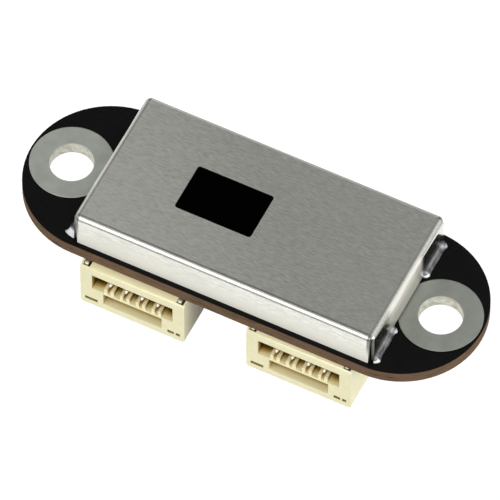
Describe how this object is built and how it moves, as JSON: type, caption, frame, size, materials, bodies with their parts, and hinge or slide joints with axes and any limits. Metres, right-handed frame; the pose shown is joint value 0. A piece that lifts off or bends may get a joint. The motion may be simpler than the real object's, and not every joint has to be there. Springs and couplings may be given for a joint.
{
  "type": "laser distance sensor",
  "caption": "Bare time-of-flight ranging module: round-ended circuit board with two M3 mounting holes, folded shielding can with infrared window, and locking wire-to-board headers.",
  "frame": {"origin": "midway between the two mounting holes, on the underside of the board", "axes": "+X along the board's length, -Y out of the headers' mating faces, +Z out of the window, along the line of sight"},
  "size_m": [0.0356, 0.0132, 0.0086],
  "materials": {
    "board": "black solder mask on both faces of a glass-epoxy board, with a bare brown routed edge",
    "tinned_copper": "hot-air levelled tin on copper, satin grey on the rings and brighter in the barrels",
    "brushed_sheet": "nickel-silver sheet brushed along its length, bright at the bends",
    "infrared_filter": "polished acrylic that is black to the eye and clear in the near infrared",
    "adhesive_foam": "die-cut double-sided adhesive",
    "solder": "shiny reflowed solder",
    "black_rubber": "moulded matt black silicone",
    "chip_laminate": "green laminate",
    "moulding_compound": "matt black moulding compound",
    "emitter_semiconductor": "polished semiconductor with gold pads",
    "receiver_semiconductor": "polished silicon",
    "tinned_lead": "matt tin plate",
    "crystal_case": "seam-welded nickel lid on a ceramic base",
    "ferrite": "matt ferrite with tinned ends",
    "capacitor_ceramic": "fired ceramic with tinned ends",
    "resistor_body": "black film on ceramic with tinned ends",
    "cream_nylon": "injection-moulded cream nylon, slightly glossy",
    "contact": "bright tin plate on drawn brass wire",
    "solder_tab": "tin plate on stamped brass"
  },
  "bodies": {
    "root": {"pcb": "board", "mount_ring_left": "tinned_copper", "mount_ring_right": "tinned_copper", "shield_can": "brushed_sheet", "window_filter": "infrared_filter", "filter_tape": "adhesive_foam", "can_solder_front_left": "solder", "can_solder_front_right": "solder", "can_solder_back_left": "solder", "can_solder_back_right": "solder", "light_baffle": "black_rubber", "ranging_chip_base": "chip_laminate", "ranging_chip_cap": "moulding_compound", "emitter_die": "emitter_semiconductor", "receiver_die": "receiver_semiconductor", "microcontroller": "moulding_compound", "microcontroller_terminals": "tinned_lead", "transceiver": "moulding_compound", "transceiver_leads": "tinned_lead", "voltage_regulator": "moulding_compound", "regulator_leads": "tinned_lead", "crystal": "crystal_case", "inductor": "ferrite", "capacitor_supply": "capacitor_ceramic", "capacitor_output": "capacitor_ceramic", "capacitor_chip": "capacitor_ceramic", "resistor_data": "resistor_body", "resistor_clock": "resistor_body", "resistor_termination": "resistor_body", "left_header_housing": "cream_nylon", "left_header_pin_1": "contact", "left_header_pin_2": "contact", "left_header_pin_3": "contact", "left_header_pin_4": "contact", "left_header_tab_left": "solder_tab", "left_header_tab_right": "solder_tab", "left_header_solder": "solder", "right_header_housing": "cream_nylon", "right_header_pin_1": "contact", "right_header_pin_2": "contact", "right_header_pin_3": "contact", "right_header_pin_4": "contact", "right_header_tab_left": "solder_tab", "right_header_tab_right": "solder_tab", "right_header_solder": "solder"}
  },
  "joints": []
}
